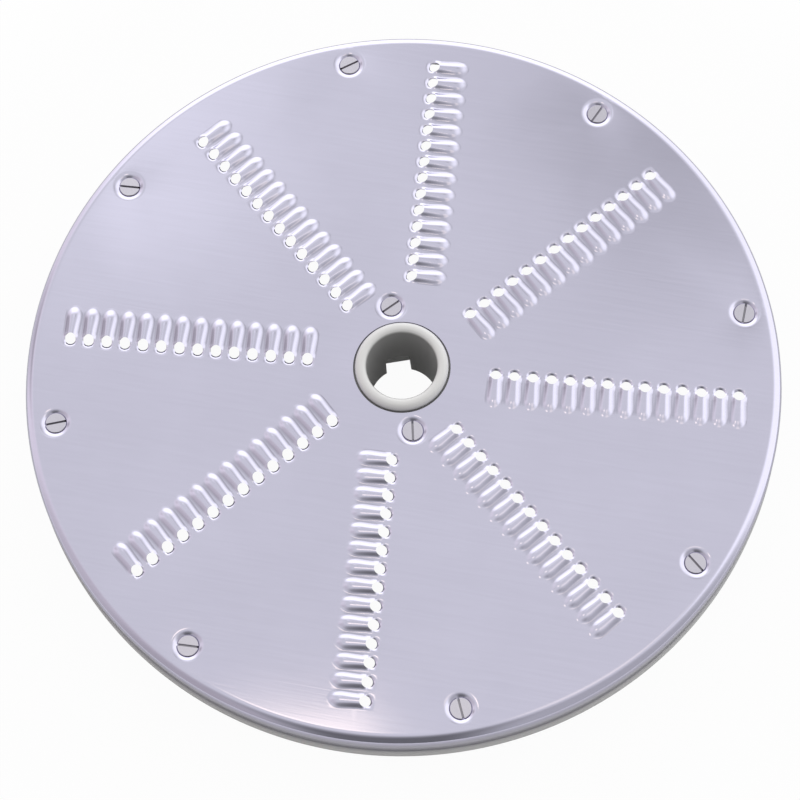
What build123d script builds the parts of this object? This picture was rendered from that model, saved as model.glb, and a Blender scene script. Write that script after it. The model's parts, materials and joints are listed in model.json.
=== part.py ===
from build123d import *
import os
from math import cos, pi, radians, sin, sqrt, tan

# Grating disc for a vegetable cutter, in millimetres.
# The spin axis is Z, the hub's foot stands on z = 0 and the first screw line points along +Y.

# Hub tube, bore and drive slots
bore_radius = 9.5
hub_wall = 3.5
plate_level = 26.0
lip_height = 2.0
lip_round = 1.6
bore_bevel = 0.9
foot_bevel = 0.4
slot_width = 7.0
slot_height = 10.0
slot_wall = 1.1
shoulder_width = 2.8
shoulder_depth = 9.0

# Pressed plate
plate_radius = 102.0
sheet = 1.0
edge_radius = 2.8
skirt_depth = 9.8
hub_gap = 0.3

# Rim, arms and screw lugs of the carrier
rim_proud = 0.5
rim_wall = 2.9
rim_depth = 14.5
seam_gap = 0.3
skirt_gap = 0.2
arm_count = 4
arm_width = 5.0
arm_depth = 6.0
lug_radius = 4.8
lug_depth = 10.0

# Slotted countersunk screws, in dimples pressed to the cone of their heads
rim_screw_count = 8
rim_screw_inset = 8.0
hub_screw_count = 2
hub_screw_offset = 5.25
head_radius = 2.85
head_recess = 0.6
shank_radius = 1.45
screw_length = 8.0
screw_slot_width = 0.7
screw_slot_depth = 0.7
seat_gap = 0.05
shank_gap = 0.15
pilot_end_gap = 0.6

# Turn of each screw's slot from the tangent, as it came to rest when tightened
rim_slot_turns = (18, 91, 158, 75, 95, 28, 92, 119)
hub_slot_turns = (27, 83)

# Rows of teeth: each lies clockwise of a screw line, and the stagger repeats every four rows
row_count = 8
row_lag = 15.0
row_hub_gap = 12.0
row_rim_gap = 12.0
tooth_pitch = 5.0
stagger_quarters = (1.5, -0.5, 0.5, -1.5)
strip_edge = 0.4

# One tooth: a punched hole with a raised hood behind it
hole_radius = 1.4
hood_length = 9.3
hood_height = 1.1
hood_neck_width = 3.5
hood_tail_width = 3.9
hood_crown_width = 1.1
hood_skin = 0.8
tail_run = 1.9
tail_drop = 0.35

# Flats that stand for rounds
round_flats = 4
hole_flats = 8
screw_flats = 8

# Levels and radii that follow
hub_radius = bore_radius + hub_wall
slot_reach = hub_radius - slot_wall
plate_under = plate_level - sheet
skirt_foot = plate_level - skirt_depth
rim_foot = plate_level - rim_depth
rim_radius = plate_radius + rim_proud
rim_inner_radius = rim_radius - rim_wall
seat_radius = plate_radius - sheet - skirt_gap
rim_screw_circle = plate_radius - rim_screw_inset
hub_screw_circle = hub_radius + hub_screw_offset
first_tooth = hub_radius + row_hub_gap
teeth_per_row = int((plate_radius - row_rim_gap - first_tooth) / tooth_pitch + 0.001) + 1
head_drop = head_radius - shank_radius
dimple_mouth = head_radius + head_recess + seat_gap
dimple_hole = shank_radius + shank_gap
dimple_drop = dimple_mouth - dimple_hole
dimple_flare = dimple_mouth + tan(radians(22.5)) * sheet
pilot_radius = shank_radius + seat_gap
cut_past = 1.0

ABOVE = (Align.CENTER, Align.CENTER, Align.MIN)
BELOW = (Align.CENTER, Align.CENTER, Align.MAX)


def polar(radius, angle, level):
    """A place at a radius and an angle from +X, turned so that its own +X runs clockwise round the disc."""
    spot = (radius * cos(radians(angle)), radius * sin(radians(angle)), level)
    return Location(spot, (0, 0, angle - 90))


def clockwise_lines(count):
    """Angles of evenly spaced lines, the first along +Y, going clockwise."""
    return [90 - 360 / count * i for i in range(count)]


def tube(radius, low, high):
    """Cylinder about Z between two heights."""
    return Pos(0, 0, low) * Cylinder(radius, high - low, align=ABOVE)


def top_edge(shape):
    """The highest edge of a cylinder."""
    return shape.edges().sort_by(Axis.Z)[-1]


def rounded_disc(radius, low, high, corner):
    """Disc about Z between two heights, its top corner rounded in flats."""
    turns = [pi / 2 * i / round_flats for i in range(round_flats + 1)]
    bend = [(radius - corner + corner * cos(a), 0, high - corner + corner * sin(a)) for a in turns]
    section = make_face(Polyline((0, 0, high), (0, 0, low), (radius, 0, low), *bend, close=True))
    return revolve(section, Axis.Z)


def flat_cone(rings):
    """Convex turned form with flat sides, through rings of (radius to the flats, height)."""
    step = 2 * pi / screw_flats
    corners = [(r / cos(step / 2), z) for r, z in rings]
    return ConvexPolyhedron(
        [(c * cos(step * i), c * sin(step * i), z) for c, z in corners for i in range(screw_flats)]
    )


def hood():
    """Outside of one raised hood: a hipped ridge from the hole's widest line to its blunt tail."""
    shoulder = hood_length - tail_run
    side = hood_tail_width / 2
    crown = hood_crown_width / 2
    outline = [(0, hood_neck_width / 2), (shoulder, side), (hood_length, side / 2)]
    points = [(u, s * v, z) for u, v in outline for s in (-1, 1) for z in (-sheet / 2, 0)]
    points += [(0, s * crown, hood_height) for s in (-1, 1)]
    points += [(shoulder, s * crown, hood_height - tail_drop) for s in (-1, 1)]
    return ConvexPolyhedron(points)


def hood_hollow():
    """Hollow that the press leaves below one hood, as wide as the hole's rear flats."""
    shoulder = hood_length - tail_run - hood_skin
    ceiling = hood_height - hood_skin
    under = -sheet - cut_past
    side_view = Polyline(
        (0, 0, under),
        (hood_length - 2 * hood_skin, 0, under),
        (shoulder, 0, ceiling - tail_drop),
        (0, 0, ceiling),
        close=True,
    )
    return extrude(make_face(side_view), hole_radius / sqrt(2), dir=(0, 1, 0), both=True)


def tooth_hole():
    """Punched hole of one tooth, straight through the sheet and the hood's lip."""
    outline = RegularPolygon(hole_radius, hole_flats)
    return Pos(0, 0, -sheet - cut_past) * extrude(outline, sheet + hood_height + 2 * cut_past)


def tooth_row():
    """One row of teeth on a strip of sheet: the first hole is at the origin, the row runs along +Y."""
    places = [Pos(0, tooth_pitch * i, 0) for i in range(teeth_per_row)]
    raised = hood()
    punch = hood_hollow() + tooth_hole()
    strip = row_strip() + [place * raised for place in places]
    return strip - [place * punch for place in places]


def row_strip():
    """Flat strip of the plate that carries one row of teeth."""
    front = hole_radius + strip_edge
    end = max(hood_tail_width / 2, hole_radius) + strip_edge
    length = tooth_pitch * (teeth_per_row - 1) + 2 * end
    strip = Box(front + hood_length + strip_edge, length, sheet, align=(Align.MIN, Align.MIN, Align.MAX))
    return Pos(-front, -end, 0) * strip


def row_places():
    """Where each row's first hole lies on the plate's top face."""
    places = []
    for row, angle in enumerate(clockwise_lines(row_count)):
        stagger = stagger_quarters[row % len(stagger_quarters)] * tooth_pitch / 4
        places.append(polar(first_tooth + stagger, angle - row_lag, plate_level))
    return places


def dimple_opening():
    """Plug of flat plate that a dimple's pressed cone takes the place of."""
    return flat_cone([(dimple_mouth, 0), (dimple_flare, -sheet)])


def dimple():
    """Sheet pressed to the cone of a screw head, from the plate's top face down to the shank's hole."""
    slant = sheet / sqrt(2)
    mouth = (dimple_mouth, 0)
    hole = (dimple_hole, -dimple_drop)
    end = (dimple_hole + slant, -dimple_drop - slant)
    return flat_cone([mouth, (dimple_flare, -sheet), end]) - flat_cone([mouth, hole]) - flat_cone([hole, end])


def grating_plate():
    """Pressed plate: flat disc with a rounded edge and skirt, rows of teeth and screw dimples."""
    disc = rounded_disc(plate_radius, skirt_foot, plate_level, edge_radius)
    inside = tube(plate_radius - sheet, skirt_foot, plate_under)
    inside = chamfer(top_edge(inside), (2 - sqrt(2)) * (edge_radius - sheet))
    blank = disc - inside - tube(hub_radius + hub_gap, plate_under, plate_level)
    opening = dimple_opening()
    window = row_strip()
    blank -= [place * opening for place in screw_places] + [place * window for place in row_places()]
    pressed = dimple()
    row = tooth_row()
    formed = [place * pressed for place in screw_places] + [place * row for place in row_places()]
    return blank + formed


def hub():
    """Hub tube with a rounded lip, bevelled bore, two blind drive slots and a shoulder below the plate."""
    lip_top = plate_level + lip_height
    outer = rounded_disc(hub_radius, 0, lip_top, lip_round)
    outer = chamfer(outer.edges().sort_by(Axis.Z)[0], foot_bevel)
    outer += tube(hub_radius + shoulder_width, plate_under - shoulder_depth, plate_under)
    bore = tube(bore_radius, 0, lip_top)
    bevel = Cone(bore_radius, bore_radius + bore_bevel, bore_bevel, align=BELOW)
    slot = Box(slot_width, 2 * slot_reach, slot_height, align=ABOVE)
    return outer - bore - Pos(0, 0, lip_top) * bevel - slot


def lug():
    """Screw lug below the plate, run out to the rim."""
    top = -sheet
    nose = flat_cone([(lug_radius, top), (lug_radius, top - lug_depth)])
    root = Box(2 * lug_radius, rim_screw_inset, lug_depth, align=(Align.CENTER, Align.MIN, Align.MAX))
    return nose + Pos(0, 0, top) * root


def screw_socket():
    """Countersink and blind pilot hole for one screw, below a dimple."""
    sink = dimple_flare + seat_gap
    sink_end = (pilot_radius, pilot_radius - sink - sheet)
    pilot_end = (pilot_radius, -head_recess - screw_length - pilot_end_gap)
    return flat_cone([(sink, -sheet), sink_end]) + flat_cone([sink_end, pilot_end])


def carrier():
    """Moulded carrier: rim band under the plate's skirt, arms, screw lugs and the hub."""
    space = tube(seat_radius, rim_foot, plate_under)
    space = chamfer(top_edge(space), edge_radius - sheet)
    rim = space + tube(rim_radius, rim_foot, skirt_foot - seam_gap)
    rim -= tube(rim_inner_radius, rim_foot, plate_under)
    bar = Box(seat_radius, arm_width, arm_depth, align=(Align.MIN, Align.CENTER, Align.MAX))
    arm = Pos(0, 0, plate_under) * bar
    arms = [space & (Rot(0, 0, angle) * arm) for angle in clockwise_lines(arm_count)]
    rim_lug = lug()
    lugs = [space & (place * rim_lug) for place in rim_screw_places]
    ear = flat_cone([(lug_radius, -sheet), (lug_radius, -sheet - lug_depth)])
    ears = [place * ear for place in hub_screw_places]
    frame = rim + arms + lugs + ears - tube(hub_radius - hub_wall / 2, rim_foot, plate_under)
    socket = screw_socket()
    return frame + hub() - [place * socket for place in screw_places]


def screw(slot_turn):
    """Countersunk screw with a straight slot, its head recessed below the plate's top face."""
    top = -head_recess
    neck = (shank_radius, top - head_drop)
    body = flat_cone([(head_radius, top), neck]) + flat_cone([neck, (shank_radius, top - screw_length)])
    slot = Pos(0, 0, top) * Rot(0, 0, slot_turn) * Box(3 * head_radius, screw_slot_width, 2 * screw_slot_depth)
    return body - slot


def screw_group(places, slot_turns):
    """Screws at the given places, each with its own turn of the slot."""
    turns = [slot_turns[i % len(slot_turns)] for i in range(len(places))]
    return Compound(children=[place * screw(turn) for place, turn in zip(places, turns)])


rim_screw_places = [polar(rim_screw_circle, a, plate_level) for a in clockwise_lines(rim_screw_count)]
hub_screw_places = [polar(hub_screw_circle, a, plate_level) for a in clockwise_lines(hub_screw_count)]
screw_places = rim_screw_places + hub_screw_places

parts = {
    "grating_plate": grating_plate(),
    "carrier": carrier(),
    "rim_screws": screw_group(rim_screw_places, rim_slot_turns),
    "hub_screws": screw_group(hub_screw_places, hub_slot_turns),
}
os.makedirs("parts", exist_ok=True)
for name, shape in parts.items():
    shape.label = name
    export_step(shape, f"parts/{name}.step")
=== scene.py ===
"""Grating disc of a food processor: fine surfaces, finishes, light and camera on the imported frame."""
import json
import math

import bmesh
import bpy
import numpy as np
from mathutils import Matrix, Vector
from mathutils.geometry import delaunay_2d_cdt

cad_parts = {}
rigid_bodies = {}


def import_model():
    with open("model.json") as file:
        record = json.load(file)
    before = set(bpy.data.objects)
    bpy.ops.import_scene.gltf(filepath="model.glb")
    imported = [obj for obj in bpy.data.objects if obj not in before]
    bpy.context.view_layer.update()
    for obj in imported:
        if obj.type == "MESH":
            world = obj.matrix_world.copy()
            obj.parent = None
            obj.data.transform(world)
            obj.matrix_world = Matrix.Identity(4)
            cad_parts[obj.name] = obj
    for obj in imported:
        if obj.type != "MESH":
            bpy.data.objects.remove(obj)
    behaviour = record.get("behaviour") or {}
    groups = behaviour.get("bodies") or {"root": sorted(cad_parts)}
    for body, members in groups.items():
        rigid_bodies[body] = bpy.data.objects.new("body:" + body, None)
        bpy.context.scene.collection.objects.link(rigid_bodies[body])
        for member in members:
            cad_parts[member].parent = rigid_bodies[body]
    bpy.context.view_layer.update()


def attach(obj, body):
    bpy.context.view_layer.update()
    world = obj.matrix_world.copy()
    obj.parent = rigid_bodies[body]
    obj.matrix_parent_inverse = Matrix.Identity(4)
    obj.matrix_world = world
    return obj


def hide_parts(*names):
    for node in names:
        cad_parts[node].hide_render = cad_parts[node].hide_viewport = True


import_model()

# Sizes in millimetres: the plate's sheet, the hub, the drive slot, the rim, the arms, the lugs and the screw
# circles, with the turn of each screw's slot in degrees
MM = 0.001
PLATE_LEVEL = 26.0
PLATE_RADIUS = 102.0
SHEET = 1.0
PLATE_UNDER = PLATE_LEVEL - SHEET
EDGE_RADIUS = 2.8
SKIRT_FOOT = 16.2
HUB_RADIUS = 13.0
HUB_HOLE = 13.15
BORE_RADIUS = 9.5
LIP_RADIUS = 12.6
LIP_TOP = 28.0
LIP_ROUND = 1.6
BORE_ROUND = 1.3
BORE_BEVEL = 0.3
FOOT_BEVEL = 0.4
SHOULDER_RADIUS = 15.8
SHOULDER_FOOT = 16.0
SLOT_WIDTH = 7.0
SLOT_REACH = 11.9
SLOT_HEIGHT = 10.0
SLOT_PAST_FOOT = 1.0
RIM_RADIUS = 102.5
RIM_INNER = 99.6
RIM_FOOT = 11.5
RIM_ROUND = 0.8
RIM_TOP_ROUND = 0.15
RIM_BEVEL_HEIGHT = 2.5
RIM_BEVEL_WIDTH = 1.6
SEAT_RADIUS = 100.8
SEAT_BEVEL = EDGE_RADIUS - SHEET
SEAM_GAP = 0.08
ARM_COUNT = 4
ARM_WIDTH = 5.0
ARM_DEPTH = 6.0
ARM_BEVEL = 0.6
INTO_HUB = 1.0
INTO_RIM = 0.6
LUG_RADIUS = 4.8
LUG_DEPTH = 10.0
LUG_BEVEL = 0.6
LUG_TAPER = 0.92
LUG_INTO_RIM = 1.5
UNDER_PLATE_GAP = 0.01
RIM_SCREWS = 8
RIM_SCREW_CIRCLE = 94.0
HUB_SCREWS = 2
HUB_SCREW_CIRCLE = 18.25
RIM_SLOT_TURNS = (18, 91, 158, 75, 95, 28, 92, 119)
HUB_SLOT_TURNS = (27, 83)

# Screw, from its head's flat down
HEAD_RADIUS = 2.8
HEAD_RECESS = 0.45
HEAD_BEVEL = 0.12
HEAD_LAND = 0.12
CONE_RING = 1.9
SHANK_RADIUS = 1.45
PILOT_RADIUS = 1.5
SCREW_LENGTH = 8.0
TIP_LENGTH = 1.0
TIP_RADIUS = 0.5
HEAD_COLUMNS = 8
HEAD_COLUMNS_END = 0.97
COLUMN_POINTS = 5
SCREW_SLOT_HALF = 0.3
SCREW_SLOT_DEPTH = 0.72

# Rows of teeth
ROW_LAG = 15.0
TEETH = 14
PITCH = 5.0
ROW_STARTS = (26.9, 24.1, 25.4, 23.1, 26.5, 24.0, 25.6, 23.5)

# One tooth: u runs from the hole's centre back along the hood, v across it
HOLE = 1.45
HOLE_UNDER = 1.85
HOOD_LENGTH = 9.8
HOOD_HEIGHT = 0.78
HOOD_FALL = 0.02
HOOD_CROWN = 1.4
HOOD_THINNING = 0.2
MOUTH_HALF = 2.35
NECK_HALF = 2.1
NECK_START = 0.2
NECK_RUN = 1.7
TAIL_HALF = 2.4
SWELL_START = 2.2
SWELL_RUN = 4.5
TAIL_ROUND = 3.6
TAIL_MARGIN = 0.3
TAIL_SHRINK = 0.2
RISE_START = -1.3
RISE_RUN = 2.4
DISH_DEPTH = 0.45
DISH_FRONT = 1.0
DISH_SIDE = 0.55
DISH_TURN = 0.4
CELL_FRONT = -2.9
CELL_JOIN = 2.6
CELL_END = 9.9
CELL_RINGS = (0, 0.12, 0.26, 0.42, 0.62, 0.82, 1)
CELL_RINGS_UNDER = (0, 0.45, 1)
STATIONS = 14
STATIONS_UNDER = 7
STATION_CROWDING = 1.6
LINES_PER_HALF = 7

# Painted shade band at a hood's foot: its line and spread as shares of the half width, and where it fades
FOOT_LINE = 0.9
FOOT_SPREAD = 0.34
FOOT_START = 0.8
FOOT_FADE_IN = 1.2
FOOT_END = HOOD_LENGTH - 1.2
FOOT_FADE_OUT = 1.6

# Where the flat web hands over to the turned edge, and the dimples round the screws, whose underside is
# given by radius and height from the plate's top
WEB_RADIUS = 100.0
WEB_RINGS = (98.9, 99.3, 99.65)
DIMPLE_RADIUS = 4.75
DIMPLE_MOUTH = 3.55
DIMPLE_FILLET = 2.7
DIMPLE_HOLE = 1.6
DIMPLE_CONE_RING = 2.2
CONE_SLOPE = 45.0
DIMPLE_UNDER = ((DIMPLE_HOLE, -2.6), (2.2, -2.7), (3.3, -1.68), (3.9, -1.16), (DIMPLE_RADIUS, -SHEET))
DIMPLE_CLEAR = 0.25

# Socket of a screw in the carrier: radius and height over the plate's underside
SOCKET = ((4.6, 0.5), (4.6, -0.02), (3.9, -0.25), (PILOT_RADIUS, -2.65), (PILOT_RADIUS, -8.4))

# Steps round the turned forms
ROUND_STEPS = 288
HUB_STEPS = 96
DIMPLE_STEPS = 40
LUG_STEPS = 32

# Distances in metres within which points are welded, and below which an edge is dropped
WELD = 3e-6
CARRIER_WELD = 2e-6
SLIVER = 1e-7

# Painted shade, as shares of the full colour, and the stretches in millimetres where it fades
HOOD_FOOT_PAINTED_SHADE = 0.27
SCREW_RECESS_PAINTED_SHADE = 0.45
SCREW_RECESS_FADE = (0.4, 0.08)
BORE_PAINTED_SHADE = 0.48
BORE_FADE = 0.35
GROOVE_PAINTED_SHADE_LOSS = 0.55
GROOVE_TOP_FADE = 0.4
GROOVE_FOOT_FADE = (0.1, 0.05)
GROOVE_WALL_FADE = (0.3, 0.1)
RIM_BAND_PAINTED_SHADE = 0.78
RIM_BAND_FADE = (97.0, 99.0)

# Marks: the middle range of a noise, the level above which a streak is a hairline, and their strengths
NOISE_RANGE = (0.3, 0.7)
HAIRLINE_RANGE = (0.77, 0.8)
HAIRLINE_DEPTH = 0.8
ROUGHNESS_SPREAD = 0.12
BUMP_DISTANCE = 0.0002


def smooth(x):
    """Smooth step: 3x^2 - 2x^3 with x held between 0 and 1."""
    x = np.clip(x, 0, 1)
    return x * x * (3 - 2 * x)


def circle(radius, steps):
    """Points of a circle about the origin, in the plane."""
    a = np.linspace(0, 2 * math.pi, steps, endpoint=False)
    return radius * np.stack([np.cos(a), np.sin(a)], -1)


def arc(centre, radius, start, end, steps):
    """Points of a circular arc, angles in degrees."""
    a = np.radians(np.linspace(start, end, steps))
    return np.stack([centre[0] + radius * np.cos(a), centre[1] + radius * np.sin(a)], -1)


def grid_quads(rows, cols, wrap=False):
    """Quads of a grid of rows by cols points, each row closing on itself where wrap is set."""
    i = np.arange(rows - 1)[:, None] * cols
    j = np.arange(cols if wrap else cols - 1)[None, :]
    k = (j + 1) % cols
    return np.stack([i + j, i + k, i + cols + k, i + cols + j], axis=-1).reshape(-1, 4)


def repeated(points, faces, places):
    """Copies of one patch, each carried by a 4 by 4 matrix: all points and faces as whole arrays."""
    flat = np.concatenate([points, np.ones((len(points), 1))], axis=1)
    moved = np.einsum("nij,pj->npi", places, flat)[:, :, :3].reshape(-1, 3)
    steps = (np.arange(len(places)) * len(points))[:, None, None]
    return moved, (faces[None] + steps).reshape(-1, faces.shape[1])


def turned(profile, steps):
    """Turned surface: each profile point (radius, height) swept round Z."""
    rings = [np.column_stack([circle(r, steps), np.full(steps, z)]) for r, z in profile]
    return np.concatenate(rings), grid_quads(len(rings), steps, wrap=True)


def polar_places(radius, angles):
    """Matrices that put a patch at a radius and angles in degrees, its +X clockwise round the disc."""
    places = [
        Matrix.Rotation(math.radians(a - 90), 4, "Z") @ Matrix.Translation((0, r, PLATE_LEVEL))
        for r, a in zip(np.broadcast_to(radius, len(angles)).tolist(), angles)
    ]
    return np.array([np.array(m) for m in places])


def laid_out(outline, place):
    """Plane outline carried by a place's matrix."""
    return outline @ place[:2, :2].T + place[:2, 3]


def clockwise(count):
    """Angles of evenly spaced lines, the first along +Y, going clockwise."""
    return [90 - 360 / count * i for i in range(count)]


def finish_mesh(mesh, material, sharp):
    """Smooth shading with creases above an angle in degrees, and the piece's one material."""
    mesh.polygons.foreach_set("use_smooth", np.ones(len(mesh.polygons), bool))
    mesh.set_sharp_from_angle(angle=math.radians(sharp))
    mesh.materials.clear()
    mesh.materials.append(material)


def stands_for(made, node):
    """The piece rides on the part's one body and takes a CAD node's place."""
    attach(made, "root")
    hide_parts(node)


def piece(name, shells, material, node, sharp, foot=()):
    """Joins shells of points and faces in millimetres into one closed mesh that stands for a CAD node.

    The painted foot shade of the first points, where there is one, goes into the mesh as an attribute.
    """
    mesh = bpy.data.meshes.new(name)
    points = np.concatenate([p for p, _ in shells]) * MM
    starts = np.cumsum([0] + [len(p) for p, _ in shells[:-1]])
    loops = np.concatenate([(f + s).ravel() for (_, f), s in zip(shells, starts)])
    sizes = np.concatenate([np.full(len(f), f.shape[1]) for _, f in shells])
    mesh.vertices.add(len(points))
    mesh.vertices.foreach_set("co", points.ravel())
    mesh.loops.add(len(loops))
    mesh.loops.foreach_set("vertex_index", loops.astype(np.int32))
    mesh.polygons.add(len(sizes))
    mesh.polygons.foreach_set("loop_start", np.concatenate([[0], np.cumsum(sizes)[:-1]]).astype(np.int32))
    mesh.update(calc_edges=True)
    # Painted shade along the hoods' feet, kept as a point attribute for the plate's colour
    if len(foot):
        shade = mesh.attributes.new("painted_hood_foot_shade", "FLOAT", "POINT")
        shade.data.foreach_set("value", np.pad(foot, (0, len(points) - len(foot))))
    whole = bmesh.new()
    whole.from_mesh(mesh)
    bmesh.ops.remove_doubles(whole, verts=whole.verts, dist=WELD)
    bmesh.ops.dissolve_degenerate(whole, edges=whole.edges, dist=SLIVER)
    bmesh.ops.recalc_face_normals(whole, faces=whole.faces)
    whole.to_mesh(mesh)
    whole.free()
    finish_mesh(mesh, material, sharp)
    made = bpy.data.objects.new(name, mesh)
    bpy.context.scene.collection.objects.link(made)
    stands_for(made, node)


def hood_half_width(u):
    """Half width of a hood along its length: shoulders at the mouth, a neck, then a swell to the tail."""
    neck = smooth((u - NECK_START) / NECK_RUN)
    swell = smooth((u - SWELL_START) / SWELL_RUN)
    return MOUTH_HALF + (NECK_HALF - MOUTH_HALF) * neck + (TAIL_HALF - NECK_HALF) * swell


def tooth_height(u, v):
    """Height of the sheet's top round one punched hole at the origin.

    Across, the hood is one wave of a cosine, from foot to crest to foot, with its crest flattened by a
    power. Along u its ridge rises over the hole, falls a little and closes in an elliptic tail of the same
    wave. In front of the hole the sheet dips in a dish that is deepest at the hole's edge and dies out
    past its sides.
    """
    past_tail = np.maximum(u - HOOD_LENGTH + TAIL_ROUND, 0) / TAIL_ROUND
    off_ridge = np.minimum(np.hypot(v / hood_half_width(u), past_tail), 1)
    arch = 0.5 + 0.5 * np.cos(math.pi * off_ridge ** HOOD_CROWN)
    raised = (HOOD_HEIGHT - HOOD_FALL * u) * smooth((u - RISE_START) / RISE_RUN) * arch
    reach = np.maximum(np.hypot(u, v), 1e-6)
    front = smooth(DISH_TURN - u / reach)
    run = DISH_SIDE + (DISH_FRONT - DISH_SIDE) * front
    dish = DISH_DEPTH * front * np.clip(1 - (reach - HOLE) / run, 0, 1) ** 2
    return raised - dish


def foot_shade(u, v):
    """Painted shade at a hood's foot, 0 to 1: a smooth band about its foot line, faded at mouth and tail."""
    band = smooth(1 - np.abs(np.abs(v) / hood_half_width(u) - FOOT_LINE) / FOOT_SPREAD)
    return band * smooth((u - FOOT_START) / FOOT_FADE_IN) * smooth((FOOT_END - u) / FOOT_FADE_OUT)


def hood_stations(count):
    """Places along u from the mouth's frame to the cell's end, closer together towards the tail."""
    left = 1 - np.linspace(0, 1, count)
    return CELL_END - (CELL_END - CELL_JOIN) * left ** STATION_CROWDING


def tooth_lines(u):
    """Across lines of a tooth's cell at each u: shares of the hood's half width, then the cell's edge."""
    past_tail = np.maximum(u - HOOD_LENGTH + TAIL_ROUND, 0) / (TAIL_ROUND + TAIL_MARGIN)
    shrink = np.sqrt(np.clip(1 - past_tail ** 2, TAIL_SHRINK, 1))
    half = np.linspace(0, 1, LINES_PER_HALF)[None, :] * (hood_half_width(u) * shrink)[:, None]
    half = np.concatenate([half, np.full((len(u), 1), PITCH / 2)], axis=1)
    return np.concatenate([-half[:, :0:-1], half], axis=1)


def tooth_cell(stations, rings, hole):
    """Plan of one tooth's cell: rings from the hole to a frame round it, then a grid under the hood.

    The ring part runs along straight rays from the hole's circle to the frame, and the grid part along the
    across lines. Gives the points (u, v), the faces, the count of points round the hole, and the cell's
    front lines, tail lines and side places, from which a row's outline is made.
    """
    front_lines = tooth_lines(np.array([CELL_JOIN]))[0]
    corner = math.atan2(PITCH / 2, CELL_JOIN)
    far_corner = math.atan2(PITCH / 2, CELL_FRONT)
    flank = PITCH / 2 / np.tan(np.linspace(corner, far_corner, LINES_PER_HALF))
    right = np.column_stack([np.full(len(front_lines), CELL_JOIN), front_lines])
    far = np.column_stack([flank, np.full(len(flank), PITCH / 2)])
    left = np.column_stack([np.full(len(front_lines), CELL_FRONT), front_lines[::-1]])
    near = np.column_stack([flank[::-1], np.full(len(flank), -PITCH / 2)])
    border = np.concatenate([right[:-1], far[:-1], left[:-1], near[:-1]])
    around = np.arctan2(border[:, 1], border[:, 0])
    edge = hole * np.stack([np.cos(around), np.sin(around)], -1)
    t = np.asarray(rings)[:, None, None]
    ring_points = (edge[None] * (1 - t) + border[None] * t).reshape(-1, 2)
    ring_faces = grid_quads(len(rings), len(border), wrap=True)
    across = tooth_lines(stations)
    hood_points = np.stack([np.repeat(stations[:, None], across.shape[1], 1), across], -1).reshape(-1, 2)
    hood_faces = grid_quads(len(stations), across.shape[1]) + len(ring_points)
    points = np.concatenate([ring_points, hood_points])
    faces = np.concatenate([ring_faces, hood_faces])
    return points, faces, len(border), front_lines, across[-1], np.concatenate([flank[::-1], stations[1:]])


def row_outline(front_lines, tail_lines, side_places):
    """Closed outline of a whole row of cells, in the row's plane."""
    low, high = -PITCH / 2, TEETH * PITCH - PITCH / 2
    steps = (np.arange(TEETH) * PITCH)[:, None]
    v_front = np.append((steps + front_lines[None, :-1]).ravel(), high)
    v_tail = np.append((steps + tail_lines[None, :-1]).ravel(), high)
    up = np.column_stack([np.full(len(v_front), CELL_FRONT), v_front])
    out = np.column_stack([side_places, np.full(len(side_places), high)])
    down = np.column_stack([np.full(len(v_tail), CELL_END), v_tail[::-1]])
    back = np.column_stack([side_places[::-1], np.full(len(side_places), low)])
    return np.concatenate([up[:-1], out[:-1], down[:-1], back[:-1]])


def plate_drop(radius, bend):
    """Fall of the plate's surface towards its edge: flat, then a circular bend from the flat's rim."""
    over = np.maximum(np.asarray(radius) - (PLATE_RADIUS - EDGE_RADIUS), 0)
    return np.sqrt(np.maximum(bend * bend - over * over, 0)) - bend


def web(rows, dimple_circles, level, bend, row_places):
    """Web of the plate between the rows, dimples, hub and edge: a triangle net held to those outlines."""
    loops = [circle(WEB_RADIUS, ROUND_STEPS), circle(HUB_HOLE, HUB_STEPS)] + rows + dimple_circles
    starts = np.cumsum([0] + [len(loop) for loop in loops[:-1]])
    edges = [
        np.stack([np.arange(len(loop)), np.roll(np.arange(len(loop)), -1)], -1) + start
        for loop, start in zip(loops, starts)
    ]
    centres = np.array([c.mean(0) for c in dimple_circles])
    free = np.concatenate([circle(r, ROUND_STEPS) for r in WEB_RINGS])
    free = free[np.linalg.norm(free[:, None] - centres[None], axis=2).min(1) > DIMPLE_RADIUS + DIMPLE_CLEAR]
    points = [Vector(p) for p in np.concatenate(loops + [free]).tolist()]
    net = delaunay_2d_cdt(points, np.concatenate(edges).tolist(), [], 0, 1e-6)
    flat = np.array([tuple(p) for p in net[0]])
    faces = np.array(net[2])
    middle = flat[faces].mean(1)
    keep = np.linalg.norm(middle, axis=1) > HUB_HOLE * math.cos(math.pi / HUB_STEPS)
    to_dimple = np.linalg.norm(middle[:, None] - centres[None], axis=2).min(1)
    keep &= to_dimple > DIMPLE_RADIUS * math.cos(math.pi / DIMPLE_STEPS)
    for place in row_places:
        u, v = ((middle - place[:2, 3]) @ place[:2, :2]).T
        keep &= (u < CELL_FRONT) | (u > CELL_END) | (v < -PITCH / 2) | (v > TEETH * PITCH - PITCH / 2)
    z = level + plate_drop(np.linalg.norm(flat, axis=1), bend)
    return np.column_stack([flat, z]), faces[keep]


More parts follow.
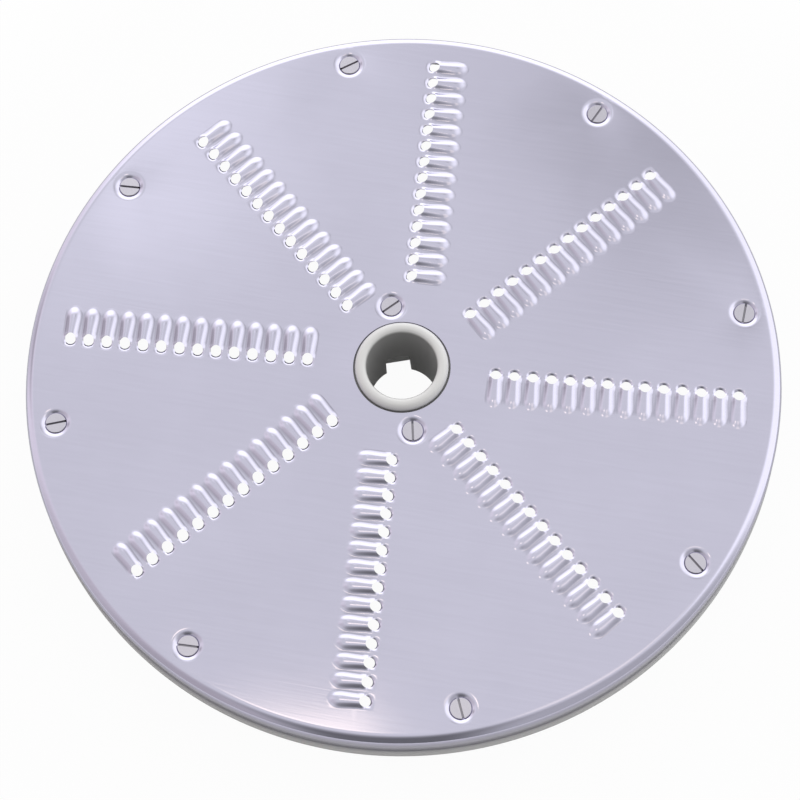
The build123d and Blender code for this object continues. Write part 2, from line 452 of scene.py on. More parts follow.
def dimples(places):
    """All screw dimples: on top a flat, a round and the head's cone; below, the sheet's far side.

    Each lies on the plate's bend, whose fall fades out towards the dimple's hole.
    """
    run = DIMPLE_FILLET * math.tan(math.radians(CONE_SLOPE / 2))
    bend = arc((DIMPLE_MOUTH + run, -DIMPLE_FILLET), DIMPLE_FILLET, 90, 90 + CONE_SLOPE, steps=8)
    bend[0] = (DIMPLE_RADIUS, 0)
    cone = [(r, r - DIMPLE_MOUTH) for r in (DIMPLE_CONE_RING, DIMPLE_HOLE)]
    top = np.concatenate([bend, cone])
    profile = np.concatenate([top, DIMPLE_UNDER])
    points, faces = repeated(*turned(profile, DIMPLE_STEPS), places)
    own = np.tile(np.repeat(profile[:, 0], DIMPLE_STEPS), len(places))
    below = np.tile(np.repeat(np.arange(len(profile)) >= len(top), DIMPLE_STEPS), len(places))
    share = smooth((own - DIMPLE_HOLE) / (DIMPLE_RADIUS - DIMPLE_HOLE))
    reach = np.linalg.norm(points[:, :2], axis=1)
    fall = np.where(below, plate_drop(reach, EDGE_RADIUS - SHEET), plate_drop(reach, EDGE_RADIUS))
    points[:, 2] += fall * share
    return points, faces


def edge_profile():
    """Rounded edge and skirt, from the web's rim over the outside and back along the inside."""
    centre = (PLATE_RADIUS - EDGE_RADIUS, PLATE_LEVEL - EDGE_RADIUS)
    inner = EDGE_RADIUS - SHEET
    start = math.degrees(math.acos((WEB_RADIUS - centre[0]) / EDGE_RADIUS))
    inner_start = math.degrees(math.acos((WEB_RADIUS - centre[0]) / inner))
    soft = 0.12
    return np.concatenate([
        arc(centre, EDGE_RADIUS, start, 0, steps=12),
        arc((PLATE_RADIUS - soft, SKIRT_FOOT + soft), soft, 0, -90, steps=4),
        [(PLATE_RADIUS - SHEET, SKIRT_FOOT)],
        arc(centre, inner, 0, inner_start, steps=7),
    ])


def plate_shells():
    """Shells of the pressed plate, and the painted foot shade of its first shell's points.

    The shells are the teeth's top, underside and cut edges, the web above and below, the dimples, the
    turned edge with its skirt, and the hub hole. The painted shade ends at a row's two outer edges, so none
    is on the web.
    """
    row_places = polar_places(ROW_STARTS, [a - ROW_LAG for a in clockwise(len(ROW_STARTS))])
    step = np.tile(np.eye(4), (TEETH, 1, 1))
    step[:, 1, 3] = np.arange(TEETH) * PITCH
    tooth_places = np.einsum("aij,bjk->abik", row_places, step).reshape(-1, 4, 4)
    top, top_faces, around, *top_lines = tooth_cell(hood_stations(STATIONS), CELL_RINGS, HOLE)
    low, low_faces, _, *low_lines = tooth_cell(hood_stations(STATIONS_UNDER), CELL_RINGS_UNDER, HOLE_UNDER)
    # Painted shade along each hood's foot, repeated for every tooth of every row
    foot = np.tile(foot_shade(*top.T), (len(row_places), TEETH, 1))
    foot[:, 0, np.isclose(top[:, 1], -PITCH / 2)] = 0
    foot[:, -1, np.isclose(top[:, 1], PITCH / 2)] = 0
    top = np.column_stack([top, tooth_height(*top.T)])
    low_height = tooth_height(*low.T)
    low = np.column_stack([low, low_height - SHEET + HOOD_THINNING * np.clip(low_height, 0, 1)])
    cut = np.concatenate([top[:around], low[:around]])
    screw_places = np.concatenate([
        polar_places(RIM_SCREW_CIRCLE, clockwise(RIM_SCREWS)),
        polar_places(HUB_SCREW_CIRCLE, clockwise(HUB_SCREWS)),
    ])
    dimple_circles = [laid_out(circle(DIMPLE_RADIUS, DIMPLE_STEPS), place) for place in screw_places]
    top_rows = [laid_out(row_outline(*top_lines), place) for place in row_places]
    low_rows = [laid_out(row_outline(*low_lines), place) for place in row_places]
    shells = [
        repeated(top, top_faces, tooth_places),
        repeated(low, low_faces, tooth_places),
        repeated(cut, grid_quads(2, around, wrap=True), tooth_places),
        web(top_rows, dimple_circles, PLATE_LEVEL, EDGE_RADIUS, row_places),
        web(low_rows, dimple_circles, PLATE_UNDER, EDGE_RADIUS - SHEET, row_places),
        dimples(screw_places),
        turned(edge_profile(), ROUND_STEPS),
        turned([(HUB_HOLE, PLATE_LEVEL), (HUB_HOLE, PLATE_UNDER)], HUB_STEPS),
    ]
    return shells, foot.ravel()


def screw_shell(turn):
    """Slotted countersunk screw with its slot turned, the head's flat below the plate's top face.

    Across the slot the columns are p = R sin(theta), and along it each column spans the head's chord.
    Columns in the slot lie lower and end on the cone. Below, rings follow the cone and the plain shank.
    """
    edge = HEAD_RADIUS - HEAD_BEVEL
    side = np.linspace(math.asin(SCREW_SLOT_HALF / edge), math.pi / 2 * HEAD_COLUMNS_END, HEAD_COLUMNS)
    half = edge * np.sin(side)
    p = np.concatenate([-half[::-1], [-SCREW_SLOT_HALF, SCREW_SLOT_HALF], half])
    level = np.zeros(len(p))
    level[len(side):len(side) + 2] = -SCREW_SLOT_DEPTH
    head_foot = -HEAD_BEVEL - HEAD_LAND
    slot_end = HEAD_RADIUS - SCREW_SLOT_DEPTH - head_foot
    reach = np.where(level < 0, slot_end, edge)
    span = np.linspace(-1, 1, COLUMN_POINTS)
    q = np.sqrt(reach ** 2 - p ** 2)[:, None] * span[None, :]
    top = np.stack(np.broadcast_arrays(p[:, None], q, level[:, None]), -1).reshape(-1, 3)
    ids = np.arange(len(top)).reshape(q.shape)
    rim = top[np.concatenate([ids[:, -1], ids[::-1, 0]])]
    around = np.arctan2(rim[:, 1], rim[:, 0])
    in_slot = rim[:, 2] < 0
    rings = [rim]
    neck = head_foot - HEAD_RADIUS + SHANK_RADIUS
    for radius, z in [
        (HEAD_RADIUS, -HEAD_BEVEL), (HEAD_RADIUS, head_foot),
        (CONE_RING, head_foot - HEAD_RADIUS + CONE_RING), (SHANK_RADIUS, neck),
        (SHANK_RADIUS, TIP_LENGTH - SCREW_LENGTH), (TIP_RADIUS, -SCREW_LENGTH),
        (TIP_RADIUS / 10, -SCREW_LENGTH),
    ]:
        ring = np.column_stack([radius * np.cos(around), radius * np.sin(around), np.full(len(around), z)])
        if z >= head_foot:
            ring[in_slot] = rim[in_slot]
        rings.append(ring)
    tip = np.concatenate([rings[-1], [(0, 0, -SCREW_LENGTH)]])
    k = np.arange(len(rim))
    tip_faces = np.stack([k, np.roll(k, -1), np.full(len(rim), len(rim))], -1)
    along = np.array(Matrix.Rotation(math.radians(turn - 90), 3, "Z"))
    shells = [
        (top, grid_quads(*q.shape)),
        (np.concatenate(rings), grid_quads(len(rings), len(rim), wrap=True)),
        (tip, tip_faces),
    ]
    return [(points @ along.T - (0, 0, HEAD_RECESS), faces) for points, faces in shells]


def screw_shells(radius, count, turns):
    """Screws on a circle, each with its own turn of the slot."""
    shells = []
    for place, turn in zip(polar_places(radius, clockwise(count)), turns):
        shells += [repeated(points, faces, place[None]) for points, faces in screw_shell(turn)]
    return shells


def solid(name, points, faces):
    """Closed mesh object with its normals outward, not yet in the scene."""
    mesh = bpy.data.meshes.new(name)
    mesh.from_pydata((points * MM).tolist(), [], faces)
    whole = bmesh.new()
    whole.from_mesh(mesh)
    bmesh.ops.recalc_face_normals(whole, faces=whole.faces)
    whole.to_mesh(mesh)
    whole.free()
    return bpy.data.objects.new(name, mesh)


def stacked(name, sections):
    """Solid of stacked sections, each an outline with a height, its two ends closed by one face each."""
    count = len(sections[0][0])
    points = np.concatenate([np.column_stack([outline, np.full(count, z)]) for outline, z in sections])
    ends = [list(range(count)), list(range(len(points) - count, len(points)))]
    return solid(name, points, grid_quads(len(sections), count, wrap=True).tolist() + ends)


def ring_solid(name, profile, steps):
    """Solid ring: a closed profile of (radius, height) swept round Z."""
    points, faces = turned(profile, steps)
    last = np.arange(len(points) - steps, len(points))
    first = np.arange(steps)
    closing = np.stack([last, np.roll(last, -1), np.roll(first, -1), first], -1)
    return solid(name, points, faces.tolist() + closing.tolist())


def rectangle(x0, x1, half):
    """Corners of a rectangle from x0 to x1, its half width to each side of the X axis."""
    return np.array([(x0, -half), (x1, -half), (x1, half), (x0, half)])


def carrier_adds():
    """What joins the hub: the rim's ring, the arms, and the screw lugs and ears."""
    seat = SKIRT_FOOT - SEAM_GAP
    wall_top = PLATE_UNDER - SEAT_BEVEL + SEAT_RADIUS - RIM_INNER
    rim = np.concatenate([
        arc((RIM_RADIUS - RIM_ROUND, RIM_FOOT + RIM_ROUND), RIM_ROUND, -90, 0, steps=5),
        arc((RIM_RADIUS - RIM_TOP_ROUND, seat - RIM_TOP_ROUND), RIM_TOP_ROUND, 0, 90, steps=4),
        [(SEAT_RADIUS, seat), (SEAT_RADIUS, PLATE_UNDER - SEAT_BEVEL), (RIM_INNER, wall_top)],
        [(RIM_INNER, RIM_FOOT + RIM_BEVEL_HEIGHT), (RIM_INNER + RIM_BEVEL_WIDTH, RIM_FOOT)],
    ])
    adds = [ring_solid("rim_ring", rim, ROUND_STEPS)]
    half = ARM_WIDTH / 2
    foot = PLATE_UNDER - ARM_DEPTH
    levels = [(half, PLATE_UNDER - UNDER_PLATE_GAP), (half, foot + ARM_BEVEL), (half - ARM_BEVEL, foot)]
    arm_start = HUB_RADIUS - INTO_HUB
    arm_end = SEAT_RADIUS - INTO_RIM
    for angle in clockwise(ARM_COUNT):
        arm = stacked("arm", [(rectangle(arm_start, arm_end, h), z) for h, z in levels])
        arm.data.transform(Matrix.Rotation(math.radians(angle), 4, "Z"))
        adds.append(arm)
    run_out = SEAT_RADIUS - LUG_INTO_RIM - RIM_SCREW_CIRCLE
    nose = arc((0, 0), LUG_RADIUS, 180, 360, LUG_STEPS // 2 + 1)
    rim_lug = np.concatenate([nose, [(LUG_RADIUS, run_out), (-LUG_RADIUS, run_out)]])
    ear = circle(LUG_RADIUS, LUG_STEPS)
    lug_foot = PLATE_UNDER - LUG_DEPTH
    levels = [(1.0, PLATE_UNDER - 2 * UNDER_PLATE_GAP), (1.0, lug_foot + LUG_BEVEL), (LUG_TAPER, lug_foot)]
    rim_lugs = (RIM_SCREW_CIRCLE, RIM_SCREWS, rim_lug)
    hub_ears = (HUB_SCREW_CIRCLE, HUB_SCREWS, ear)
    for radius, count, outline in (rim_lugs, hub_ears):
        for angle in clockwise(count):
            lug = stacked("lug", [(outline * share, z) for share, z in levels])
            lug.data.transform(screw_seat(radius, angle))
            adds.append(lug)
    return adds


def screw_seat(radius, angle):
    """Matrix in metres that puts a form made about the Z axis at a screw's place."""
    return Matrix.Rotation(math.radians(angle - 90), 4, "Z") @ Matrix.Translation((0, radius * MM, 0))


def carrier_cuts():
    """What is cut away: screw sockets, the drive slot, and the corner that the plate's bend takes."""
    cuts = []
    for radius, count in [(RIM_SCREW_CIRCLE, RIM_SCREWS), (HUB_SCREW_CIRCLE, HUB_SCREWS)]:
        for angle in clockwise(count):
            socket = stacked("socket", [(circle(r, LUG_STEPS), PLATE_UNDER + z) for r, z in SOCKET])
            socket.data.transform(screw_seat(radius, angle))
            cuts.append(socket)
    slot = rectangle(-SLOT_REACH, SLOT_REACH, SLOT_WIDTH / 2)[:, ::-1]
    cuts.append(stacked("drive_slot", [(slot, SLOT_HEIGHT), (slot, -SLOT_PAST_FOOT)]))
    past = 0.3
    corner = [
        (SEAT_RADIUS - SEAT_BEVEL - past, PLATE_UNDER + past), (SEAT_RADIUS, PLATE_UNDER - SEAT_BEVEL),
        (RIM_RADIUS, PLATE_UNDER - SEAT_BEVEL), (RIM_RADIUS, PLATE_UNDER + past),
    ]
    cuts.append(ring_solid("plate_corner", corner, ROUND_STEPS))
    return cuts


def carrier_piece(material):
    """Moulded carrier: the turned hub joined with its additions, less its cuts, as one mesh."""
    hub = np.concatenate([
        [(BORE_RADIUS, BORE_BEVEL), (BORE_RADIUS + BORE_BEVEL, 0)],
        [(HUB_RADIUS - FOOT_BEVEL, 0), (HUB_RADIUS, FOOT_BEVEL)],
        [(HUB_RADIUS, SHOULDER_FOOT), (SHOULDER_RADIUS, SHOULDER_FOOT), (SHOULDER_RADIUS, PLATE_UNDER)],
        [(LIP_RADIUS, PLATE_UNDER)],
        arc((LIP_RADIUS - LIP_ROUND, LIP_TOP - LIP_ROUND), LIP_ROUND, 0, 90, steps=9),
        arc((BORE_RADIUS + BORE_ROUND, LIP_TOP - BORE_ROUND), BORE_ROUND, 90, 180, steps=6),
    ])
    made = ring_solid("carrier_moulding", hub, HUB_STEPS)
    bpy.context.scene.collection.objects.link(made)
    groups = []
    for kind, operands in (("UNION", carrier_adds()), ("DIFFERENCE", carrier_cuts())):
        group = bpy.data.collections.new(kind.lower())
        for operand in operands:
            group.objects.link(operand)
        bpy.context.scene.collection.children.link(group)
        change = made.modifiers.new(kind.lower(), "BOOLEAN")
        change.operation = kind
        change.operand_type = "COLLECTION"
        change.collection = group
        change.solver = "EXACT"
        groups.append(group)
    bpy.context.view_layer.update()
    mesh = bpy.data.meshes.new_from_object(made.evaluated_get(bpy.context.evaluated_depsgraph_get()))
    made.modifiers.clear()
    made.data = mesh
    for group in groups:
        for operand in list(group.objects):
            bpy.data.objects.remove(operand)
        bpy.data.collections.remove(group)
    whole = bmesh.new()
    whole.from_mesh(mesh)
    bmesh.ops.remove_doubles(whole, verts=whole.verts, dist=CARRIER_WELD)
    bmesh.ops.triangulate(whole, faces=[f for f in whole.faces if len(f.verts) > 4])
    whole.to_mesh(mesh)
    whole.free()
    finish_mesh(mesh, material, sharp=35)
    stands_for(made, "carrier")


def emptied_tree(owner):
    """Node tree of a material or world, with no nodes in it."""
    owner.use_nodes = True
    owner.node_tree.nodes.clear()
    return owner.node_tree


def add(tree, kind, **inputs):
    """New node; keywords set its properties or its sockets, by name or as i0, i1, to a value or a link."""
    node = tree.nodes.new(kind)
    for key, value in inputs.items():
        if hasattr(node, key) and key not in node.inputs:
            setattr(node, key, value)
            continue
        socket = node.inputs[int(key[1:])] if key[0] == "i" and key[1:].isdigit() else node.inputs[key]
        if isinstance(value, bpy.types.NodeSocket):
            tree.links.new(value, socket)
        else:
            socket.default_value = value
    return node


def math_node(tree, operation, *values):
    """Result of one math operation on values or links."""
    inputs = {f"i{i}": value for i, value in enumerate(values)}
    return add(tree, "ShaderNodeMath", operation=operation, **inputs).outputs[0]


def spread(tree, value, low, high, out_low, out_high):
    """Value carried from one range to another, held at its ends."""
    return add(tree, "ShaderNodeMapRange", i0=value, i1=low, i2=high, i3=out_low, i4=out_high).outputs[0]


def step_up(tree, value, low, high):
    """Smooth step from 0 at low to 1 at high."""
    ends = {"i1": low, "i2": high, "i3": 0.0, "i4": 1.0}
    return add(tree, "ShaderNodeMapRange", interpolation_type="SMOOTHSTEP", i0=value, **ends).outputs[0]


def marks_group():
    """Shared surface marks: a stretched fine grain, soft blotches and a few hairlines, as value outputs."""
    group = bpy.data.node_groups.new("surface_marks", "ShaderNodeTree")
    group.interface.new_socket("Vector", in_out="INPUT", socket_type="NodeSocketVector")
    group.interface.new_socket("Grain Scale", in_out="INPUT", socket_type="NodeSocketFloat")
    group.interface.new_socket("Stretch", in_out="INPUT", socket_type="NodeSocketFloat")
    for name in ("Grain", "Blotch", "Hairline"):
        group.interface.new_socket(name, in_out="OUTPUT", socket_type="NodeSocketFloat")
    start = group.nodes.new("NodeGroupInput")
    end = group.nodes.new("NodeGroupOutput")
    at = start.outputs["Vector"]
    long_way = add(group, "ShaderNodeCombineXYZ", X=start.outputs["Stretch"], Y=1.0, Z=1.0)
    laid = add(group, "ShaderNodeVectorMath", operation="MULTIPLY", i0=at, i1=long_way.outputs[0])
    scale = start.outputs["Grain Scale"]
    grain = add(group, "ShaderNodeTexNoise", Vector=laid.outputs[0], Scale=scale, Detail=3.0)
    blotch = add(group, "ShaderNodeTexNoise", Vector=at, Scale=28.0, Detail=3.0, Roughness=0.55)
    slanted = add(group, "ShaderNodeMapping", Vector=at, Rotation=(0, 0, 0.6), Scale=(0.035, 1, 1))
    streak = add(group, "ShaderNodeTexNoise", Vector=slanted.outputs[0], Scale=700.0, Detail=0.0)
    hairline = spread(group, streak.outputs[0], *HAIRLINE_RANGE, 0.0, 1.0)
    group.links.new(grain.outputs[0], end.inputs["Grain"])
    group.links.new(blotch.outputs[0], end.inputs["Blotch"])
    group.links.new(hairline, end.inputs["Hairline"])
    return group


def painted_foot_shade(tree, _place):
    """Painted shade of the plate: darker along the hoods' feet."""
    foot = add(tree, "ShaderNodeAttribute", attribute_name="painted_hood_foot_shade").outputs["Fac"]
    return math_node(tree, "MULTIPLY_ADD", foot, -HOOD_FOOT_PAINTED_SHADE, 1.0)


def painted_recess_shade(tree, place):
    """Painted shade on a screw: dark below the head's flat, in its slot and the gap round it."""
    height = add(tree, "ShaderNodeSeparateXYZ", Vector=place).outputs["Z"]
    flat = (PLATE_LEVEL - HEAD_RECESS) * MM
    low, high = [flat - depth * MM for depth in SCREW_RECESS_FADE]
    return spread(tree, height, low, high, SCREW_RECESS_PAINTED_SHADE, 1.0)


def carrier_painted_shade(tree, place):
    """Painted shade of the carrier: darker in the bore, in the groove round the lip and on the rim's band.
    """
    flat = add(tree, "ShaderNodeVectorMath", operation="MULTIPLY", i0=place, i1=(1, 1, 0))
    reach = add(tree, "ShaderNodeVectorMath", operation="LENGTH", i0=flat.outputs[0]).outputs["Value"]
    height = add(tree, "ShaderNodeSeparateXYZ", Vector=place).outputs["Z"]
    bore = spread(tree, reach, BORE_RADIUS * MM, (BORE_RADIUS + BORE_FADE) * MM, BORE_PAINTED_SHADE, 1.0)
    low, high = [(PLATE_LEVEL + side * GROOVE_TOP_FADE) * MM for side in (-1, 1)]
    deep = spread(tree, height, low, high, 1.0, 0.0)
    low, high = [(PLATE_UNDER - depth) * MM for depth in GROOVE_FOOT_FADE]
    in_sheet = spread(tree, height, low, high, 0.0, 1.0)
    near, far = [(LIP_RADIUS - inward) * MM for inward in GROOVE_WALL_FADE]
    beside = spread(tree, reach, near, far, 0.0, 1.0)
    groove = math_node(tree, "MULTIPLY", math_node(tree, "MULTIPLY", deep, in_sheet), beside)
    groove = math_node(tree, "MULTIPLY_ADD", groove, -GROOVE_PAINTED_SHADE_LOSS, 1.0)
    # Painted shade on the rim's outer band
    near, far = [radius * MM for radius in RIM_BAND_FADE]
    band = spread(tree, reach, near, far, 1.0, RIM_BAND_PAINTED_SHADE)
    return math_node(tree, "MULTIPLY", math_node(tree, "MULTIPLY", bore, groove), band)


def finish_material(name, marks, colour, metallic, roughness, tone, grain_scale, stretch, turn, bump, shade):
    """Material with the shared marks: blotches vary colour and roughness, grain and hairlines make the bump.

    The tone is how far the marks vary the colour, the turn is the grain's direction in degrees, and the
    shade is a function that gives the piece's painted shade, darker where shade falls.
    """
    material = bpy.data.materials.new(name)
    tree = emptied_tree(material)
    place = add(tree, "ShaderNodeTexCoord").outputs["Object"]
    laid = add(tree, "ShaderNodeMapping", Vector=place, Rotation=(0, 0, math.radians(turn)))
    group = tree.nodes.new("ShaderNodeGroup")
    group.node_tree = marks
    group.inputs["Grain Scale"].default_value = grain_scale
    group.inputs["Stretch"].default_value = stretch
    tree.links.new(laid.outputs[0], group.inputs["Vector"])
    blotch = spread(tree, group.outputs["Blotch"], *NOISE_RANGE, 1 - tone, 1 + tone)
    grain = spread(tree, group.outputs["Grain"], *NOISE_RANGE, 1 - tone / 2, 1 + tone / 2)
    level = math_node(tree, "MULTIPLY", blotch, grain)
    # Painted shade: the piece's shade function darkens its colour
    level = math_node(tree, "MULTIPLY", level, shade(tree, place))
    shaded = add(tree, "ShaderNodeVectorMath", operation="SCALE", i0=colour, Scale=level)
    smoother, rougher = [roughness * (1 + side * ROUGHNESS_SPREAD) for side in (-1, 1)]
    rough = spread(tree, group.outputs["Blotch"], *NOISE_RANGE, smoother, rougher)
    hairline = math_node(tree, "MULTIPLY", group.outputs["Hairline"], HAIRLINE_DEPTH)
    height = math_node(tree, "SUBTRACT", group.outputs["Grain"], hairline)
    lift = add(tree, "ShaderNodeBump", Strength=bump, Distance=BUMP_DISTANCE, Height=height)
    shader = add(
        tree, "ShaderNodeBsdfPrincipled", Metallic=metallic, Roughness=rough, Normal=lift.outputs[0],
        **{"Base Color": shaded.outputs[0]},
    )
    out = add(tree, "ShaderNodeOutputMaterial", Surface=shader.outputs[0])
    out.is_active_output = True
    return material


marks = marks_group()
plate_steel = finish_material(
    "plate_steel", marks, colour=(0.595, 0.582, 0.71), metallic=1.0, roughness=0.11, tone=0.025,
    grain_scale=1400, stretch=0.04, turn=20, bump=0.016, shade=painted_foot_shade,
)
screw_steel = finish_material(
    "screw_steel", marks, colour=(0.62, 0.60, 0.67), metallic=1.0, roughness=0.2, tone=0.03,
    grain_scale=2400, stretch=0.2, turn=70, bump=0.05, shade=painted_recess_shade,
)
grey_plastic = finish_material(
    "grey_plastic", marks, colour=(0.70, 0.70, 0.695), metallic=0.0, roughness=0.22, tone=0.02,
    grain_scale=3000, stretch=1.0, turn=0, bump=0.04, shade=carrier_painted_shade,
)

plate, plate_foot_painted_shade = plate_shells()
rim_set = screw_shells(RIM_SCREW_CIRCLE, RIM_SCREWS, RIM_SLOT_TURNS)
hub_set = screw_shells(HUB_SCREW_CIRCLE, HUB_SCREWS, HUB_SLOT_TURNS)
piece("grating_plate_pressed", plate, plate_steel, "grating_plate", sharp=40, foot=plate_foot_painted_shade)
carrier_piece(grey_plastic)
piece("rim_screw_set", rim_set, screw_steel, "rim_screws", sharp=30)
piece("hub_screw_set", hub_set, screw_steel, "hub_screws", sharp=30)

# Camera: where the photograph was taken from, in pixels and millimetres; the part is turned a little in it
PICTURE_WIDTH = 800
SENSOR_WIDTH = 36.0
FOCUS = 2056.0
ELEVATION = math.radians(69.56)
ROLL = math.radians(4.38)
DISTANCE = 553.5
SHIFT_RIGHT = 0.48
SHIFT_UP = 8.88
PART_TURN = math.radians(5.02)
TO_PART = Matrix.Rotation(-PART_TURN, 3, "Z")

# Floor: radius in metres, grey of its matt paint, share of the shadow that the camera sees, how much more of
# it reflections show, and the share of the radius where it starts to fade
FLOOR_RADIUS = 0.2
FLOOR_STEPS = 96
FLOOR_GREY = 0.7
SHADOW_SEEN = 0.04
SHADOW_MORE_REFLECTED = 0.86
SHADOW_FADE = 0.7

# Studio: brightness of each part, the direction and size of its round patches, and the directions between
# which the others come in, along X to the right or Y away from the camera
PLAIN = 0.92
DIM_RIGHT = 0.64
DIM_RIGHT_AT = (0.15, 0.46, 0.12)
PALE_LEFT = 1.22
PALE_LEFT_AT = (-0.115, 0.49, 0.12)
FAR_GLOW = 1.8
FAR_Y = (0.54, 0.82)
WINDOW = 1.5
WINDOW_X = (0.25, 0.65)
WINDOW_Y = (-0.35, 0.0)
LEFT_X = (-0.3, -0.7)
LEFT_FAR = 1.1
LEFT_FAR_Y = (0.0, 0.3)
LEFT_NEAR = 0.78
LEFT_NEAR_Y = (0.2, -0.1)
LEFT_LOW = 0.58
LEFT_LOW_AT = (-0.76, 0.48, 0.24)
NEAR_SIDE = 0.6
NEAR_Y = (-0.1, -0.55)
STANDING = 0.2
STANDING_Y = (-0.25, -0.78)
STANDING_MIDDLE = -0.13
STANDING_ASIDE = (0.46, 0.15)
ROSE = (1, 0.94, 0.96, 1)

# Warm panels over the disc: place to the right and away, width, depth (metres) and brightness
PANEL_HEIGHT = 0.526
PANEL_COLOUR = (1.0, 0.82, 0.6)
PANELS = {
    "panel_over": (-0.07, -0.02, 0.085, 0.065, 1.0),
    "panel_right": (0.14, -0.075, 0.15, 0.12, 0.3),
}


def photo_camera():
    """Camera at its distance and elevation, rolled and shifted to see the disc as the photograph does."""
    back = Vector((0, -math.cos(ELEVATION), math.sin(ELEVATION)))
    level_up = Vector((0, math.sin(ELEVATION), math.cos(ELEVATION)))
    level_right = Vector((1, 0, 0))
    right = level_right * math.cos(ROLL) - level_up * math.sin(ROLL)
    up = level_right * math.sin(ROLL) + level_up * math.cos(ROLL)
    spot = TO_PART @ (back * DISTANCE - right * SHIFT_RIGHT - up * SHIFT_UP) + Vector((0, 0, PLATE_LEVEL))
    axes = Matrix((TO_PART @ right, TO_PART @ up, TO_PART @ back)).transposed()
    lens = bpy.data.cameras.new("camera")
    lens.sensor_width = SENSOR_WIDTH
    lens.lens = FOCUS * SENSOR_WIDTH / PICTURE_WIDTH
    lens.clip_start = 0.01
    lens.clip_end = 20
    camera = bpy.data.objects.new("camera", lens)
    camera.matrix_world = Matrix.Translation(spot * MM) @ axes.to_4x4()
    bpy.context.scene.collection.objects.link(camera)
    bpy.context.scene.camera = camera


def pale_floor():
    """Round floor at the hub's foot: white to the camera, with a trace of shadow that fades out to its edge.

    Reflections show the same white, with more of the shadow in it. From below the floor is clear, so that
    the part's underside can be seen.
    """
    mesh = bpy.data.meshes.new("floor")
    rim = [(x, y, 0) for x, y in circle(FLOOR_RADIUS, FLOOR_STEPS).tolist()]
    mesh.from_pydata(rim, [], [tuple(range(len(rim)))])
    material = bpy.data.materials.new("pale_floor")
    tree = emptied_tree(material)
    matt = add(tree, "ShaderNodeBsdfDiffuse", Color=(FLOOR_GREY, FLOOR_GREY, FLOOR_GREY, 1))
    white = add(tree, "ShaderNodeEmission", Color=(1, 1, 1, 1), Strength=1.0)
    rays = tree.nodes.new("ShaderNodeLightPath").outputs
    reflected = rays["Is Glossy Ray"]
    seen = math_node(tree, "MAXIMUM", rays["Is Camera Ray"], reflected)
    shadow = math_node(tree, "MULTIPLY_ADD", reflected, SHADOW_MORE_REFLECTED, SHADOW_SEEN)
    place = add(tree, "ShaderNodeTexCoord").outputs["Object"]
    reach = add(tree, "ShaderNodeVectorMath", operation="LENGTH", i0=place).outputs["Value"]
    fade = step_up(tree, reach, FLOOR_RADIUS, FLOOR_RADIUS * SHADOW_FADE)
    shadow = math_node(tree, "MULTIPLY", shadow, fade)
    shown = add(tree, "ShaderNodeMixShader", i0=shadow, i1=white.outputs[0], i2=matt.outputs[0])
    both = add(tree, "ShaderNodeMixShader", i0=seen, i1=matt.outputs[0], i2=shown.outputs[0])
    clear = tree.nodes.new("ShaderNodeBsdfTransparent")
    underside = tree.nodes.new("ShaderNodeNewGeometry").outputs["Backfacing"]
    from_below = math_node(tree, "MULTIPLY", underside, rays["Is Camera Ray"])
    one_sided = add(tree, "ShaderNodeMixShader", i0=from_below, i1=both.outputs[0], i2=clear.outputs[0])
    add(tree, "ShaderNodeOutputMaterial", Surface=one_sided.outputs[0])
    mesh.materials.append(material)
    floor = bpy.data.objects.new("floor", mesh)
    bpy.context.scene.collection.objects.link(floor)


def toward(tree, value, target, share):
    """Value moved towards a target by a share from 0 to 1."""
    gap = math_node(tree, "SUBTRACT", target, value)
    return math_node(tree, "MULTIPLY_ADD", gap, share, value)


def patch(tree, way, x, y, size):
    """Soft round patch of directions about one direction: 1 at its centre, 0 from its size outward."""
    off = add(tree, "ShaderNodeVectorMath", operation="DISTANCE", i0=way, i1=(x, y, 0)).outputs["Value"]
    return step_up(tree, off, size, 0.0)


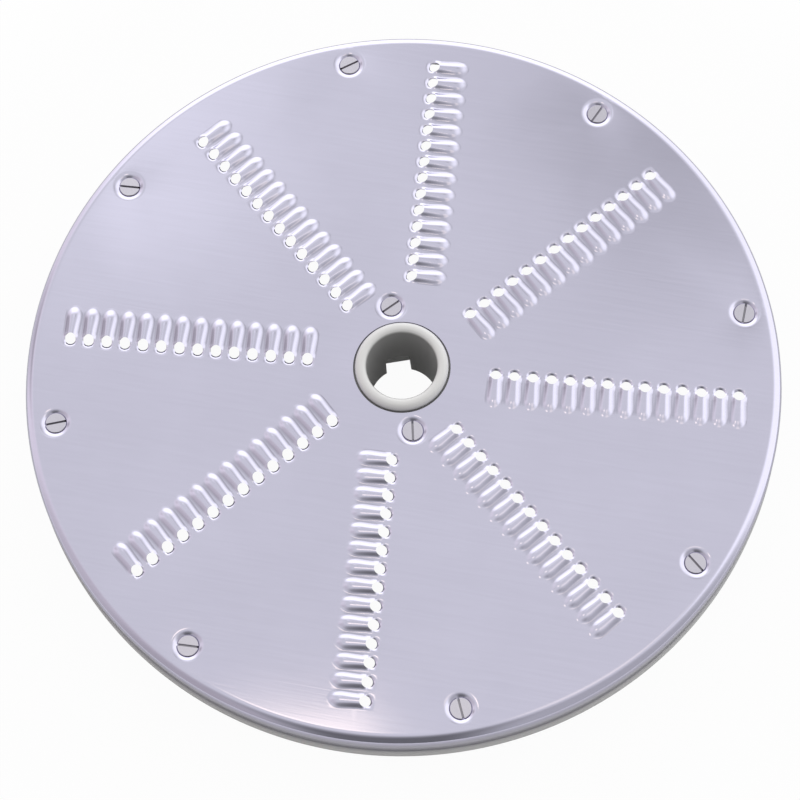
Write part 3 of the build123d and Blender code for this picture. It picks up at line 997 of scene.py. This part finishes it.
def studio_world():
    """Soft studio round the disc, by direction: X right, Y away from the camera, Z up.

    Overhead it is plain, a little lighter to the left of the disc's far edge and dimmer to its right. It
    brightens low down behind the disc and in a window to the right, has a rose tinge and a low dim place on
    the left, dims on the near side, and is dark where the camera stands. The camera itself sees white.
    """
    world = bpy.data.worlds.new("studio")
    bpy.context.scene.world = world
    tree = emptied_tree(world)
    place = add(tree, "ShaderNodeTexCoord").outputs["Generated"]
    laid = add(tree, "ShaderNodeMapping", Vector=place, Rotation=(0, 0, PART_TURN)).outputs[0]
    parts = add(tree, "ShaderNodeSeparateXYZ", Vector=laid)
    x, y = parts.outputs["X"], parts.outputs["Y"]
    way = add(tree, "ShaderNodeVectorMath", operation="MULTIPLY", i0=laid, i1=(1, 1, 0)).outputs[0]
    left = step_up(tree, x, *LEFT_X)
    left_far = math_node(tree, "MULTIPLY", left, step_up(tree, y, *LEFT_FAR_Y))
    left_near = math_node(tree, "MULTIPLY", left, step_up(tree, y, *LEFT_NEAR_Y))
    window = math_node(tree, "MULTIPLY", step_up(tree, x, *WINDOW_X), step_up(tree, y, *WINDOW_Y))
    aside = math_node(tree, "ABSOLUTE", math_node(tree, "SUBTRACT", x, STANDING_MIDDLE))
    close = step_up(tree, aside, *STANDING_ASIDE)
    standing = math_node(tree, "MULTIPLY", step_up(tree, y, *STANDING_Y), close)
    light = toward(tree, PLAIN, DIM_RIGHT, patch(tree, way, *DIM_RIGHT_AT))
    light = toward(tree, light, PALE_LEFT, patch(tree, way, *PALE_LEFT_AT))
    light = toward(tree, light, FAR_GLOW, step_up(tree, y, *FAR_Y))
    light = toward(tree, light, WINDOW, window)
    light = toward(tree, light, LEFT_FAR, left_far)
    light = toward(tree, light, LEFT_NEAR, left_near)
    light = toward(tree, light, LEFT_LOW, patch(tree, way, *LEFT_LOW_AT))
    light = toward(tree, light, NEAR_SIDE, step_up(tree, y, *NEAR_Y))
    light = toward(tree, light, STANDING, standing)
    rose = add(tree, "ShaderNodeMix", data_type="RGBA", i0=left, i6=(1, 1, 1, 1), i7=ROSE)
    studio = add(tree, "ShaderNodeBackground", Color=rose.outputs[2], Strength=light)
    white = add(tree, "ShaderNodeBackground", Color=(1, 1, 1, 1), Strength=1.0)
    camera_ray = tree.nodes.new("ShaderNodeLightPath").outputs["Is Camera Ray"]
    seen = add(tree, "ShaderNodeMixShader", i0=camera_ray, i1=studio.outputs[0], i2=white.outputs[0])
    add(tree, "ShaderNodeOutputWorld", Surface=seen.outputs[0])


def warm_panels():
    """Two weak, warm panels above the plate, whose reflections lie on the plate's near edge."""
    for name, (x, y, wide, deep, glow) in PANELS.items():
        panel = bpy.data.lights.new(name, "AREA")
        panel.shape = "RECTANGLE"
        panel.size = wide
        panel.size_y = deep
        panel.color = PANEL_COLOUR
        panel.energy = glow * math.pi * wide * deep
        lamp = bpy.data.objects.new(name, panel)
        lamp.matrix_world = Matrix.Translation(TO_PART @ Vector((x, y, PANEL_HEIGHT))) @ TO_PART.to_4x4()
        lamp.visible_camera = False
        bpy.context.scene.collection.objects.link(lamp)


photo_camera()
pale_floor()
studio_world()
warm_panels()
bpy.context.scene.view_settings.view_transform = "Standard"
